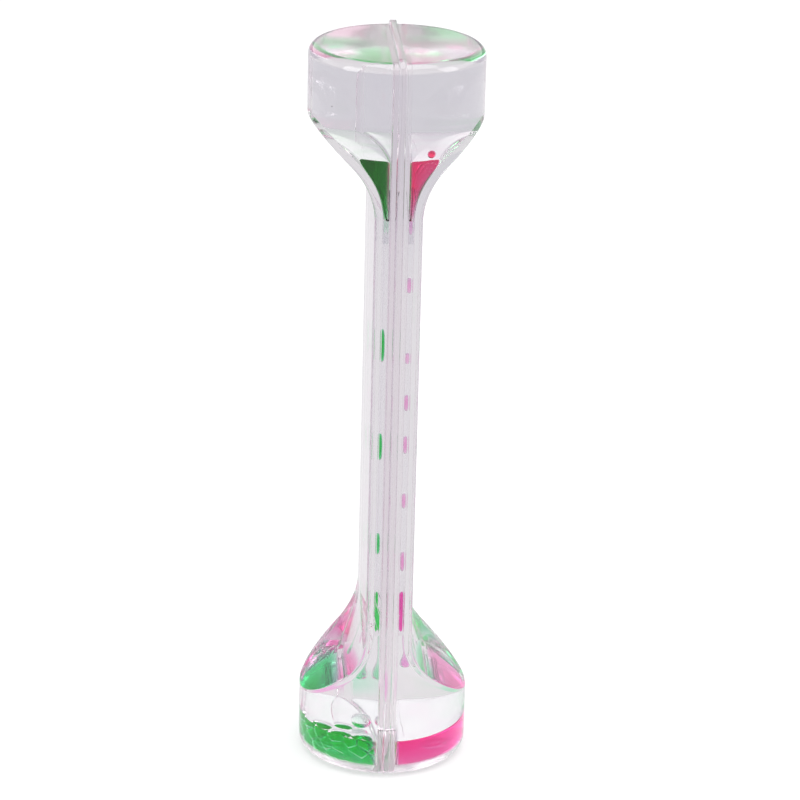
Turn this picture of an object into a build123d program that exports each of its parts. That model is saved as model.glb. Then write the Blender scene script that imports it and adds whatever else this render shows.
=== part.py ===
from build123d import *
import math
import os

os.makedirs("parts", exist_ok=True)

# Liquid motion timer: a clear upright cylinder with two concave sides, split down its middle
# by a flat divider. Each half holds a clear liquid and drops of a dyed one, green on the left
# and pink on the right. The drops fall down a thin lane in the stem. Origin at the middle of
# the base, +Z up, +X to the pink side, -Y to the viewer.

# Housing
body_diameter = 45.0
shell_height = 195.0
head_side = 17.8
shoulder_angle = 42.0
neck_radius = 18.0
shell_wall = 2.2
end_wall = 2.2
end_rounding = 3.0
edge_rounding = 1.4

# Divider: one centre plate between two thinner cover plates
centre_plate_thickness = 2.0
cover_plate_thickness = 1.35
rib_stand = 1.0
rib_rounding = 0.45

# Lane between each cover plate and the stem's wall, where the drops fall
lane_gap = 1.5
drop_clearance = 0.2

# Nozzle bars, one across each end of each lane
nozzle_length = 5.9
nozzle_fit = 0.1
bore_diameter = 1.2
countersink_rim = 0.1

# Fill plugs in the base
plug_head_diameter = 5.2
plug_head_thickness = 0.9
plug_shank_diameter = 3.6
plug_fit = 0.05
plug_place_share = 0.52

# Liquids, which keep a thin film between themselves and what holds them
film = 0.1
pool_depth = 7.3
funnel_pool_depth = 15.6
path_clearance = 0.3

# Dyed thread that runs through each bore; the lower one narrows at both ends
thread_clearance = 0.1
thread_above = 0.9
lower_thread_below = 3.8
thread_tip_radius = 0.2
thread_tip_rise = 1.4

# Lane drops, from the top down: height of the centre as a share of the lane, and height of
# the drop as a share of the tallest
tallest_drop = 9.0
drop_width_share = 0.5
drop_end_share = 0.76
drop_bevel = 0.42
green_drop_shares = [(0.69, 1.0), (0.415, 0.84), (0.145, 0.68)]
pink_drop_shares = [
    (0.85, 0.47),
    (0.655, 0.34),
    (0.535, 0.5),
    (0.42, 0.56),
    (0.265, 0.48),
    (0.095, 0.62),
]

# Drops that hang in the lower funnel
green_hanging_radius = 1.4
green_hanging_height = 13.0
green_hanging_lead = 6.0
green_hanging_plate_gap = 0.3
pink_hanging_radius = 1.05
pink_hanging_height = 9.4
pink_hanging_lead = 6.0
pink_hanging_plate_gap = 0.6
hanging_neck_radius = 0.4
hanging_swell_angle = 8.0

# Drop that has landed on the green pool, and bead on the pink funnel pool
landed_radius = 2.2
landed_front_share = 0.4
landed_plate_gap = 0.35
landed_rise = 13.0
bead_radius = 1.0
bead_front_share = 0.83
bead_wall_gap = 0.9
bead_rise = 12.0

# Drops that have settled in the green pool without joining it: share of the pool's half width
# outwards, share of its depth to the front, and share of the settled drop's radius
settled_radius = 3.4
settled_stand = 0.9
settled_shares = [
    (0.26, 0.76, 1.0),
    (0.52, 0.66, 0.9),
    (0.7, 0.4, 0.94),
    (0.42, 0.36, 0.8),
]

# Length that every cut runs past what it cuts
overrun = 4.0

# Sizes worked out from the ones above
body_radius = body_diameter / 2
divider_half = centre_plate_thickness / 2 + cover_plate_thickness
stem_half = divider_half + lane_gap + shell_wall
shoulder_slope = math.tan(math.radians(shoulder_angle))
neck_corner = head_side + (body_radius - stem_half) * shoulder_slope
neck_end = neck_corner + neck_radius * math.tan(math.radians((90 - shoulder_angle) / 2))
lane_middle = divider_half + lane_gap / 2
lane_bottom = neck_end + nozzle_length
lane_length = shell_height - 2 * lane_bottom
cavity_radius = body_radius - shell_wall
pool_level = end_wall + pool_depth
funnel_pool_bottom = shell_height - neck_end
funnel_pool_level = funnel_pool_bottom + funnel_pool_depth
lane_half_width = tallest_drop * drop_width_share / 2 + path_clearance


def waist_sketch(side, inset):
    """What one concave side takes away, seen from the front, moved inwards by inset."""
    far = body_radius + overrun
    far_z = neck_corner - (far - stem_half) * shoulder_slope
    with BuildSketch(Plane.XZ) as waist:
        with BuildLine():
            Polyline(
                (side * stem_half, neck_corner),
                (side * far, far_z),
                (side * far, shell_height - far_z),
                (side * stem_half, shell_height - neck_corner),
                close=True,
            )
        make_face()
        corners = waist.vertices().group_by(Axis.X)[0 if side > 0 else -1]
        fillet(corners, radius=neck_radius)
        if inset > 0:
            offset(amount=inset, kind=Kind.INTERSECTION)
    return waist.sketch


def dumbbell(inset, end_inset):
    """The upright cylinder with its two concave sides, every wall moved inwards."""
    with BuildPart() as form:
        with BuildSketch(Plane.XY.offset(end_inset)):
            Circle(body_radius - inset)
        extrude(amount=shell_height - 2 * end_inset)
        if inset == 0:
            fillet(form.edges().filter_by(GeomType.CIRCLE), radius=end_rounding)
        for side in (-1, 1):
            with BuildSketch(Plane.XZ):
                add(waist_sketch(side, inset))
            extrude(amount=body_radius + overrun, both=True, mode=Mode.SUBTRACT)
    return form.part


def is_waist_rim(edge):
    """True for an edge where a concave side meets the round wall."""
    middle = edge @ 0.5
    at_waist = head_side < middle.Z < shell_height - head_side
    return at_waist and math.hypot(middle.X, middle.Y) > body_radius - film


def rounded_dumbbell():
    """The outer form, with the rims of its concave sides rounded."""
    with BuildPart() as form:
        add(dumbbell(0, 0))
        fillet(form.edges().filter_by(is_waist_rim), radius=edge_rounding)
    return form.part


def inner_reach(end_distance):
    """How far the cavity reaches outwards at a distance from its end, on the shoulder's slope."""
    outer_reach = stem_half + (neck_corner - end_distance) / shoulder_slope
    return outer_reach - shell_wall / math.sin(math.radians(shoulder_angle))


def half_of(form, side, near, far=None):
    """The slab of a form between two distances from the middle plane, on one side."""
    with BuildPart() as slab:
        add(form)
        split(bisect_by=Plane.YZ.offset(side * near), keep=Keep.TOP if side > 0 else Keep.BOTTOM)
        if far is not None:
            split(bisect_by=Plane.YZ.offset(side * far), keep=Keep.BOTTOM if side > 0 else Keep.TOP)
    return slab.part


def layer_of(form, low, high):
    """The part of a form between two heights."""
    with BuildPart() as layer:
        add(form)
        split(bisect_by=Plane.XY.offset(low), keep=Keep.TOP)
        split(bisect_by=Plane.XY.offset(high), keep=Keep.BOTTOM)
    return layer.part


def upright_rod(x, y, radius, low, high):
    """A round rod between two heights."""
    with BuildPart() as rod:
        with BuildSketch(Plane((x, y, low))):
            Circle(radius)
        extrude(amount=high - low)
    return rod.part


def settled_place(outward_share, front_share):
    """Where a settled drop lies, seen from above."""
    x = -divider_half - (cavity_radius - divider_half) * outward_share
    return x, -cavity_radius * front_share


def settled_drops():
    """Drops that lie on the green pool unmerged: the tops of spheres."""
    with BuildPart() as heap:
        for outward_share, front_share, size_share in settled_shares:
            radius = settled_radius * size_share
            x, y = settled_place(outward_share, front_share)
            with Locations((x, y, pool_level + settled_stand - radius)):
                Sphere(radius)
    return heap.part


def settled_pockets():
    """The room that the clear liquid leaves over each settled drop."""
    with BuildPart() as pockets:
        for outward_share, front_share, size_share in settled_shares:
            radius = settled_radius * size_share
            x, y = settled_place(outward_share, front_share)
            top_radius = math.sqrt(radius**2 - (radius - settled_stand) ** 2)
            add(upright_rod(x, y, top_radius + film, pool_level, pool_level + settled_stand + film))
    return pockets.part


def lane_drop(side, place_share, size_share):
    """A falling drop pressed flat by its lane: an oval disc of four arcs, with a bevelled rim."""
    half_height = tallest_drop * size_share / 2
    half_width = half_height * drop_width_share
    end_radius = half_width * drop_end_share
    end_middle = half_height - end_radius
    flank_radius = (half_width**2 - end_radius**2 + end_middle**2) / (2 * (half_width - end_radius))
    flank_middle = flank_radius - half_width
    flank_angle = math.degrees(math.atan2(end_middle, flank_middle))
    near_x = side * (divider_half + drop_clearance)
    middle_z = lane_bottom + lane_length * place_share
    with BuildPart() as drop:
        with BuildSketch(Plane((near_x, 0, middle_z), x_dir=(0, 1, 0), z_dir=(side, 0, 0))):
            with BuildLine():
                CenterArc((-flank_middle, 0), flank_radius, -flank_angle, 2 * flank_angle)
                CenterArc((0, end_middle), end_radius, flank_angle, 180 - 2 * flank_angle)
                CenterArc((flank_middle, 0), flank_radius, 180 - flank_angle, 2 * flank_angle)
                CenterArc((0, -end_middle), end_radius, 180 + flank_angle, 180 - 2 * flank_angle)
            make_face()
        extrude(amount=lane_gap - 2 * drop_clearance)
        chamfer(drop.edges().filter_by(GeomType.CIRCLE), length=drop_bevel)
    return drop.part


def hanging_drop(x, radius, height, top):
    """A drop that has just let go: a round bulb that narrows upwards into a thin neck."""
    middle_z = top - height + radius
    neck_top = height - radius
    swell = math.radians(hanging_swell_angle)
    shoulder_rise = (radius * math.cos(swell) - hanging_neck_radius) / math.tan(swell)
    with BuildPart() as drop:
        with BuildSketch(Plane((x, 0, middle_z), x_dir=(1, 0, 0), z_dir=(0, -1, 0))):
            with BuildLine():
                bulb = CenterArc((0, 0), radius, -90, 90 + hanging_swell_angle)
                neck_foot = (hanging_neck_radius, radius * math.sin(swell) + shoulder_rise)
                Polyline(bulb @ 1, neck_foot, (hanging_neck_radius, neck_top), (0, neck_top), bulb @ 0)
            make_face()
        revolve(axis=Axis((x, 0, 0), (0, 0, 1)))
    return drop.part


def keep(part, name):
    """Label a finished piece and write it."""
    part.label = name
    export_step(part, f"parts/{name}.step")


sides = {"left": -1, "right": 1}
dyes = {"left": "green", "right": "pink"}
plug_place = cavity_radius * plug_place_share
outer_form = rounded_dumbbell()
cavity_form = dumbbell(shell_wall, end_wall)
liquid_form = dumbbell(shell_wall + film, end_wall + film)

# Half shells: open trays whose rims are bonded to the cover plates
for name, side in sides.items():
    with BuildPart() as half_shell:
        add(half_of(outer_form, side, divider_half))
        add(cavity_form, mode=Mode.SUBTRACT)
        with Locations(Plane((side * plug_place, 0, 0), z_dir=(0, 0, -1))):
            CounterBoreHole(
                radius=plug_shank_diameter / 2 + plug_fit,
                counter_bore_radius=plug_head_diameter / 2 + plug_fit,
                counter_bore_depth=plug_head_thickness,
                depth=end_wall + overrun,
            )
    keep(half_shell.part, f"{name}_shell")

# Cover plates: each closes one half shell and lies flush with it all round
for name, side in sides.items():
    with BuildPart() as cover_plate:
        add(half_of(outer_form, side, centre_plate_thickness / 2, divider_half))
    keep(cover_plate.part, f"{name}_cover_plate")

# Centre plate: parts the two halves, and stands proud as a rib all round but at the base
with BuildPart() as centre_plate:
    rib_radius = body_radius + rib_stand
    with BuildSketch(Plane.YZ) as plate_outline:
        with BuildLine():
            Polyline(
                (-rib_radius, 0),
                (rib_radius, 0),
                (rib_radius, shell_height + rib_stand),
                (-rib_radius, shell_height + rib_stand),
                close=True,
            )
        make_face()
        fillet(plate_outline.vertices(), radius=end_rounding + rib_stand)
    extrude(amount=centre_plate_thickness / 2, both=True)
    fillet(centre_plate.faces().filter_by(Axis.X).edges(), radius=rib_rounding)
keep(centre_plate.part, "centre_plate")

# Nozzle bars: each closes one end of a lane, apart from the bore that shapes the drops
lane_outer = divider_half + lane_gap
bar_reach = math.sqrt((cavity_radius - nozzle_fit) ** 2 - lane_outer**2)
bar_middle = neck_end + nozzle_length / 2
for name, side in sides.items():
    with BuildPart() as lower_nozzle:
        with BuildSketch(Plane((side * divider_half, 0, bar_middle), x_dir=(0, 1, 0), z_dir=(side, 0, 0))):
            Rectangle(2 * bar_reach, nozzle_length)
        extrude(amount=lane_gap)
        for face_z, turn in ((neck_end, -1), (lane_bottom, 1)):
            with Locations(Plane((side * lane_middle, 0, face_z), z_dir=(0, 0, turn))):
                CounterSinkHole(
                    radius=bore_diameter / 2,
                    counter_sink_radius=bore_diameter / 2 + countersink_rim,
                    depth=nozzle_length,
                )
    keep(lower_nozzle.part, f"{name}_lower_nozzle")
    with BuildPart() as upper_nozzle:
        add(lower_nozzle.part)
        mirror(about=Plane.XY.offset(shell_height / 2), mode=Mode.REPLACE)
    keep(upper_nozzle.part, f"{name}_upper_nozzle")

# Fill plugs: each seals the hole that one half was filled through
for name, side in sides.items():
    with BuildPart() as fill_plug:
        add(upright_rod(side * plug_place, 0, plug_head_diameter / 2, 0, plug_head_thickness))
        add(upright_rod(side * plug_place, 0, plug_shank_diameter / 2, 0, end_wall))
    keep(fill_plug.part, f"{name}_fill_plug")

# Drops in each lane, named from the top down
lane_drop_shares = {"left": green_drop_shares, "right": pink_drop_shares}
for name, side in sides.items():
    for number, (place_share, size_share) in enumerate(lane_drop_shares[name], start=1):
        drop = lane_drop(side, place_share, size_share)
        keep(drop, f"{dyes[name]}_lane_drop_{number}")

# Drops that hang in the lower funnels
hanging = {
    "left": (green_hanging_plate_gap, green_hanging_radius, green_hanging_height, green_hanging_lead),
    "right": (pink_hanging_plate_gap, pink_hanging_radius, pink_hanging_height, pink_hanging_lead),
}
hanging_paths = {}
for name, side in sides.items():
    plate_gap, radius, height, lead = hanging[name]
    x = side * (divider_half + plate_gap + radius)
    keep(hanging_drop(x, radius, height, neck_end - lead), f"{dyes[name]}_hanging_drop")
    hanging_paths[name] = upright_rod(x, 0, radius + path_clearance, 0, neck_end)

# Drop that has landed on the green pool
landed_x = -(divider_half + landed_plate_gap + landed_radius)
landed_y = -cavity_radius * landed_front_share
landed_z = pool_level + path_clearance + landed_radius
with BuildPart() as landed_drop:
    with Locations((landed_x, landed_y, landed_z)):
        Sphere(landed_radius)
keep(landed_drop.part, "green_landed_drop")
landed_path = upright_rod(
    landed_x,
    landed_y,
    landed_radius + path_clearance,
    pool_level,
    landed_z + landed_rise + landed_radius + path_clearance,
)

# Bead that floats on the pink funnel pool, beside the shell's sloping wall or its round one,
# whichever is nearer
bead_y = -cavity_radius * bead_front_share
bead_z = funnel_pool_level + path_clearance + bead_radius
bead_space = bead_radius + bead_wall_gap
slope_reach = inner_reach(shell_height - bead_z) - bead_space / math.sin(math.radians(shoulder_angle))
round_reach = math.sqrt((cavity_radius - bead_space) ** 2 - bead_y**2)
bead_x = min(slope_reach, round_reach)
with BuildPart() as bead:
    with Locations((bead_x, bead_y, bead_z)):
        Sphere(bead_radius)
keep(bead.part, "pink_bead")
bead_path = upright_rod(
    bead_x,
    bead_y,
    bead_radius + path_clearance,
    funnel_pool_level,
    bead_z + bead_rise + bead_radius + path_clearance,
)

# Liquids of each half, from the base up
thread_radius = bore_diameter / 2 - thread_clearance
thread_path_radius = lane_middle - divider_half
for name, side in sides.items():
    dye = dyes[name]
    half_liquid = half_of(liquid_form, side, divider_half + film)

    with BuildPart() as base_pool:
        add(layer_of(half_liquid, 0, pool_level))
        if name == "left":
            add(settled_drops())
            add(half_liquid, mode=Mode.INTERSECT)
    keep(base_pool.part, f"{dye}_base_pool")

    with BuildPart() as base_clear:
        add(layer_of(half_liquid, pool_level + film, neck_end - film))
        add(hanging_paths[name], mode=Mode.SUBTRACT)
        add(upright_rod(side * lane_middle, 0, thread_path_radius, pool_level, neck_end), mode=Mode.SUBTRACT)
        if name == "left":
            add(settled_pockets(), mode=Mode.SUBTRACT)
            add(landed_path, mode=Mode.SUBTRACT)
    keep(base_clear.part, f"{name}_clear_liquid_base")

    with BuildPart() as stem_clear:
        add(layer_of(half_liquid, lane_bottom + film, lane_bottom + lane_length - film))
        with BuildSketch(Plane.XY.offset(lane_bottom)):
            Rectangle(body_diameter, 2 * lane_half_width)
        extrude(amount=lane_length, mode=Mode.SUBTRACT)
    keep(stem_clear.part, f"{name}_clear_liquid_stem")

    with BuildPart() as funnel_pool:
        add(layer_of(half_liquid, funnel_pool_bottom + film, funnel_pool_level))
    keep(funnel_pool.part, f"{dye}_funnel_pool")

    with BuildPart() as top_clear:
        add(layer_of(half_liquid, funnel_pool_level + film, shell_height))
        if name == "right":
            add(bead_path, mode=Mode.SUBTRACT)
    keep(top_clear.part, f"{name}_clear_liquid_top")

    thread_foot = neck_end - lower_thread_below
    thread_head = lane_bottom + thread_above
    with BuildPart() as lower_thread:
        with BuildSketch(Plane((side * lane_middle, 0, 0), x_dir=(1, 0, 0), z_dir=(0, -1, 0))):
            with BuildLine():
                Polyline(
                    (0, thread_foot),
                    (thread_tip_radius, thread_foot),
                    (thread_radius, thread_foot + thread_tip_rise),
                    (thread_radius, thread_head - thread_tip_rise),
                    (thread_tip_radius, thread_head),
                    (0, thread_head),
                    close=True,
                )
            make_face()
        revolve(axis=Axis((side * lane_middle, 0, 0), (0, 0, 1)))
    keep(lower_thread.part, f"{dye}_lower_thread")
    upper_thread = upright_rod(
        side * lane_middle,
        0,
        thread_radius,
        funnel_pool_bottom - nozzle_length - thread_above,
        funnel_pool_bottom,
    )
    keep(upper_thread, f"{dye}_upper_thread")
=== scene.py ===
import logging
import math
import random
from dataclasses import dataclass, replace
from enum import Enum

import bmesh
import bpy
from mathutils import Matrix, Vector


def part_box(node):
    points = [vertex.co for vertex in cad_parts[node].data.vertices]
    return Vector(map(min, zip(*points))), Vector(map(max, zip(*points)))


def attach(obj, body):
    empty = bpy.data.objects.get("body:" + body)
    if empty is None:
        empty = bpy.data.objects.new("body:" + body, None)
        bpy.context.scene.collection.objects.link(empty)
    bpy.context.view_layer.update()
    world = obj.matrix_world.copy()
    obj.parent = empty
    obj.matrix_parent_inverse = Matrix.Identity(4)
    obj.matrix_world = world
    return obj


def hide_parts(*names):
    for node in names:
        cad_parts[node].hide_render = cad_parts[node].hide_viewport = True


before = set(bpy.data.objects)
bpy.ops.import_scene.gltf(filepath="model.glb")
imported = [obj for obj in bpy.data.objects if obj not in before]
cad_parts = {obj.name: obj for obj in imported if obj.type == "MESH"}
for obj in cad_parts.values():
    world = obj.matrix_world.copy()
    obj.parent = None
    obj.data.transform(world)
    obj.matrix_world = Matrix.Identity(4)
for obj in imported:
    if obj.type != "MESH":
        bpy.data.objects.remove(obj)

log = logging.getLogger("timer")

MM = 0.001
QUARTER = math.pi / 2
WELD = 0.0004 * MM
SLIVER = 0.0002 * MM

Point = tuple[float, float, float]
Ring = list[Point]
Colour = tuple[float, float, float]
Pair = tuple[float, float]


class Named(Enum):
    """Options whose names the pieces use."""

    @property
    def word(self) -> str:
        """The option's name as the pieces use it."""
        return self.name.lower()


class Side(Named):
    """The two halves of the timer, by the sign of their X."""

    LEFT = -1
    RIGHT = 1


class Dye(Named):
    """The two dyed liquids, by the side that holds them."""

    GREEN = Side.LEFT
    PINK = Side.RIGHT


class Face(Enum):
    """The kinds of face on a piece."""

    OUTER = "the face that is seen"
    WETTED = "a wall that the liquid wets"
    BONDED = "a face bonded to the next piece"
    SAWN = "a sawn edge"


def spaced(low: float, high: float, count: int) -> list[float]:
    """Evenly spaced values from low to high, both ends included."""
    return [low + (high - low) * k / (count - 1) for k in range(count)]


def clamp(value: float, low: float, high: float) -> float:
    """The value, held between low and high."""
    return max(low, min(high, value))


def circle(steps: int, start: float = 0.0) -> list[float]:
    """Angles of evenly spaced points round a circle, the first at a share of a step."""
    return [2 * math.pi * (k + start) / steps for k in range(steps)]


def arc(middle: Pair, radius: float, turns: list[float]) -> list[Pair]:
    """Points of an arc whose angles turn from X towards -Y."""
    return [(middle[0] + radius * math.cos(a), middle[1] - radius * math.sin(a)) for a in turns]


# Shader maths


class Value:
    """A number socket of a material that takes part in plain arithmetic."""

    def __init__(self, graph: "Graph", socket: bpy.types.NodeSocket) -> None:
        """Wraps a socket of a graph."""
        self.graph = graph
        self.socket = socket

    def _join(self, operation: str, first: object, second: object) -> "Value":
        """Adds the Math node of one operation on two values or numbers."""
        return self.graph.value("ShaderNodeMath", {"operation": operation}, {0: first, 1: second})

    def __add__(self, other: object) -> "Value":
        """The sum of this value and another."""
        return self._join("ADD", self, other)

    def __radd__(self, other: object) -> "Value":
        """The sum of a number and this value."""
        return self._join("ADD", other, self)

    def __sub__(self, other: object) -> "Value":
        """This value less another."""
        return self._join("SUBTRACT", self, other)

    def __rsub__(self, other: object) -> "Value":
        """A number less this value."""
        return self._join("SUBTRACT", other, self)

    def __mul__(self, other: object) -> "Value":
        """This value times another."""
        return self._join("MULTIPLY", self, other)

    def __rmul__(self, other: object) -> "Value":
        """A number times this value."""
        return self._join("MULTIPLY", other, self)

    def larger(self, other: object) -> "Value":
        """The larger of this value and another."""
        return self._join("MAXIMUM", self, other)

    def spread(self, span: Pair, low: float = 0.0, high: float = 1.0) -> "Value":
        """This value, mapped from a span to another with soft ends.

        Args:
            span: Start and end of the span that is read.
            low: Value given at its start.
            high: Value given at its end.

        Returns:
            The mapped value.
        """
        sockets = {"Value": self, "From Min": span[0], "From Max": span[1]}
        sockets |= {"To Min": low, "To Max": high}
        settings = {"interpolation_type": "SMOOTHSTEP"}
        return self.graph.value("ShaderNodeMapRange", settings, sockets)


class Graph:
    """The node tree of one material or of the world."""

    def __init__(self, tree: bpy.types.NodeTree) -> None:
        """Empties the tree and keeps it."""
        self.tree = tree
        tree.nodes.clear()

    def node(
        self, kind: str, settings: dict[str, object], sockets: dict[object, object]
    ) -> bpy.types.Node:
        """Adds a node.

        Args:
            kind: The node's type.
            settings: Its properties, set before its sockets.
            sockets: Values or links of its input sockets, by name or number.

        Returns:
            The new node.
        """
        made = self.tree.nodes.new(kind)
        for name, value in settings.items():
            setattr(made, name, value)
        for key, value in sockets.items():
            target = made.inputs[key]
            source = value.socket if isinstance(value, Value) else value
            if isinstance(source, bpy.types.NodeSocket):
                self.tree.links.new(source, target)
            elif hasattr(target.default_value, "__len__") and len(target.default_value) == 4:
                target.default_value = (*source, 1.0)
            else:
                target.default_value = source
        return made

    def value(
        self,
        kind: str,
        settings: dict[str, object],
        sockets: dict[object, object],
        output: object = 0,
    ) -> Value:
        """Adds a node and wraps one of its outputs, given by name or number."""
        return Value(self, self.node(kind, settings, sockets).outputs[output])

    def shader(self, kind: str, sockets: dict[object, object]) -> bpy.types.NodeSocket:
        """Adds a shader node and gives its output."""
        return self.node(f"ShaderNode{kind}", {}, sockets).outputs[0]

    def place(self, space: str = "Object") -> bpy.types.NodeSocket:
        """The place of the shaded point, in the object's own space unless told otherwise."""
        return self.node("ShaderNodeTexCoord", {}, {}).outputs[space]

    def height(self, space: str = "Object") -> Value:
        """The height of the shaded point."""
        return self.value("ShaderNodeSeparateXYZ", {}, {0: self.place(space)}, "Z")

    def distance(self, middle: Point) -> Value:
        """The distance of the shaded point from a middle, in metres."""
        ends = {0: self.place(), 1: middle}
        return self.value("ShaderNodeVectorMath", {"operation": "DISTANCE"}, ends, "Value")

    def ray(self, word: str) -> Value:
        """One for rays of a kind, such as Camera or Glossy, and zero for the others."""
        return self.value("ShaderNodeLightPath", {}, {}, f"Is {word} Ray")

    def noise(self, size: float, detail: float = 2.0, fineness: float = 0.5) -> Value:
        """Soft noise.

        Args:
            size: Width of its blotches, in metres.
            detail: Number of finer layers.
            fineness: Strength of the finer layers.

        Returns:
            The noise, about a half on average.
        """
        sockets = {"Vector": self.place(), "Scale": 1 / size, "Detail": detail}
        sockets["Roughness"] = fineness
        return self.value("ShaderNodeTexNoise", {"noise_dimensions": "3D"}, sockets, "Fac")

    def specks(self, spacing: float, size: float) -> Value:
        """Sparse round specks.

        Args:
            spacing: Distance between the cells that may hold one, in metres.
            size: Radius of a speck, in metres.

        Returns:
            One inside a speck and zero elsewhere.
        """
        sockets = {"Vector": self.place(), "Scale": 1 / spacing, "Randomness": 1.0}
        away = self.value("ShaderNodeTexVoronoi", {"feature": "F1"}, sockets, "Distance")
        return away.spread((0.5 * size / spacing, size / spacing), 1.0, 0.0)

    def blend(self, factor: object, first: object, second: object) -> bpy.types.NodeSocket:
        """Mixes two colours or links to colours, by the share of the second."""
        sockets = {0: factor, 6: first, 7: second}
        return self.node("ShaderNodeMix", {"data_type": "RGBA"}, sockets).outputs[2]

    def bump(self, height: Value, depth: float) -> bpy.types.NodeSocket:
        """A normal that follows a height from zero to one, as deep as told."""
        sockets = {"Strength": 1.0, "Distance": depth, "Height": height}
        return self.node("ShaderNodeBump", {}, sockets).outputs["Normal"]


# Finishes


@dataclass(frozen=True)
class Finish:
    """What every finish has: a name for its material."""

    name: str

    def build(self) -> bpy.types.Material:
        """Makes the material, or gives the one made before.

        Returns:
            The material.
        """
        found = bpy.data.materials.get(self.name)
        if found is None:
            found = bpy.data.materials.new(self.name)
            found.use_nodes = True
            graph = Graph(found.node_tree)
            graph.node("ShaderNodeOutputMaterial", {}, self.shade(graph))
        return found

    def shade(self, graph: Graph) -> dict[str, bpy.types.NodeSocket]:
        """The finish's shaders, by the output node's input that takes each."""
        raise NotImplementedError


@dataclass(frozen=True)
class ClearFinish(Finish):
    """A clear finish whose tint drifts in soft blotches and whose face may ripple."""

    tint: Colour
    drift_tint: Colour
    ior: float
    drift_size: float = 5 * MM
    drift_detail: float = 2.0
    drift_span: Pair = (0.4, 0.7)
    clear_share: float = 1.0
    roughness: float = 0.0
    ripple_size: float = 8 * MM
    ripple_depth: float = 0.008 * MM

    def colour(self, graph: Graph) -> bpy.types.NodeSocket:
        """The drifting tint."""
        drift = graph.noise(self.drift_size, self.drift_detail)
        return graph.blend(drift.spread(self.drift_span), self.tint, self.drift_tint)

    def rough(self, graph: Graph) -> object:
        """The roughness, here the same all over."""
        return self.roughness

    def shade(self, graph: Graph) -> dict[str, bpy.types.NodeSocket]:
        """The clear shader.

        Args:
            graph: The material's graph.

        Returns:
            The shader, for the surface.
        """
        sockets = {
            "Base Color": self.colour(graph),
            "Roughness": self.rough(graph),
            "IOR": self.ior,
            "Transmission Weight": self.clear_share,
        }
        if self.ripple_depth:
            ripple = graph.noise(self.ripple_size, 1.0)
            sockets["Normal"] = graph.bump(ripple, self.ripple_depth)
        return {"Surface": graph.shader("BsdfPrincipled", sockets)}


@dataclass(frozen=True)
class MouldedPlastic(ClearFinish):
    """Polished clear plastic with a faint ripple, scuffs, dust specks and worn resting faces."""

    ior: float = 1.49
    drift_size: float = 9 * MM
    drift_detail: float = 3.0
    drift_span: Pair = (0.35, 0.7)
    ripple_size: float = 14 * MM
    ripple_depth: float = 0.006 * MM
    scuff_size: float = 1.6 * MM
    scuff_detail: float = 4.0
    scuff_fineness: float = 0.6
    scuff_span: Pair = (0.5, 0.8)
    roughest: float = 0.03
    speck_spacing: float = 13 * MM
    speck_size: float = 0.28 * MM
    speck_colour: Colour = (0.08, 0.07, 0.07)
    ends: Pair = (0.0, 195 * MM)
    end_reach: float = 0.25 * MM
    end_wear: float = 0.2

    def colour(self, graph: Graph) -> bpy.types.NodeSocket:
        """The drifting tint with a few dust specks."""
        speck = graph.specks(self.speck_spacing, self.speck_size)
        return graph.blend(speck, super().colour(graph), self.speck_colour)

    def rough(self, graph: Graph) -> object:
        """Scuffs all over, and wear on the two resting faces.

        Args:
            graph: The material's graph.

        Returns:
            The roughness.
        """
        scuff = graph.noise(self.scuff_size, self.scuff_detail, self.scuff_fineness)
        low, high = self.ends
        height = graph.height()
        below = height.spread((low, low + self.end_reach), self.end_wear, 0.0)
        above = height.spread((high - self.end_reach, high), 0.0, self.end_wear)
        return scuff.spread(self.scuff_span, 0.0, self.roughest) + (below + above)


@dataclass(frozen=True)
class BondedFace(Finish):
    """A face bonded to the next piece, where only a little light is lost in the bond."""

    tint: Colour = (0.98, 0.968, 0.977)

    def shade(self, graph: Graph) -> dict[str, bpy.types.NodeSocket]:
        """The unseen face's shader."""
        return {"Surface": graph.shader("BsdfTransparent", {"Color": self.tint})}


@dataclass(frozen=True)
class DyedWater(Finish):
    """Dyed water in the clear liquid: it bends light outwards, and takes light by its depth."""

    body: Colour
    density: float
    skin: Colour = (1.0, 1.0, 1.0)
    skin_deep: Colour = (1.0, 1.0, 1.0)
    ior: float = 0.912
    swirl_size: float = 6 * MM
    swirl_span: Pair = (0.3, 0.7)
    swirl_depth: float = 0.006 * MM

    def shade(self, graph: Graph) -> dict[str, bpy.types.NodeSocket]:
        """The water's skin, in two tints that swirl, and its depth.

        Args:
            graph: The material's graph.

        Returns:
            The skin, for the surface, and the depth, for the volume.
        """
        bent = graph.bump(graph.noise(self.swirl_size / 2, 1.0), self.swirl_depth)
        shared = {"Roughness": 0.0, "IOR": self.ior, "Normal": bent}
        skins = [
            graph.shader("BsdfGlass", {"Color": tint, **shared})
            for tint in (self.skin, self.skin_deep)
        ]
        swirl = graph.noise(self.swirl_size).spread(self.swirl_span)
        depth = {"Color": self.body, "Density": self.density}
        return {
            "Surface": graph.shader("MixShader", {0: swirl, 1: skins[0], 2: skins[1]}),
            "Volume": graph.shader("VolumeAbsorption", depth),
        }


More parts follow.
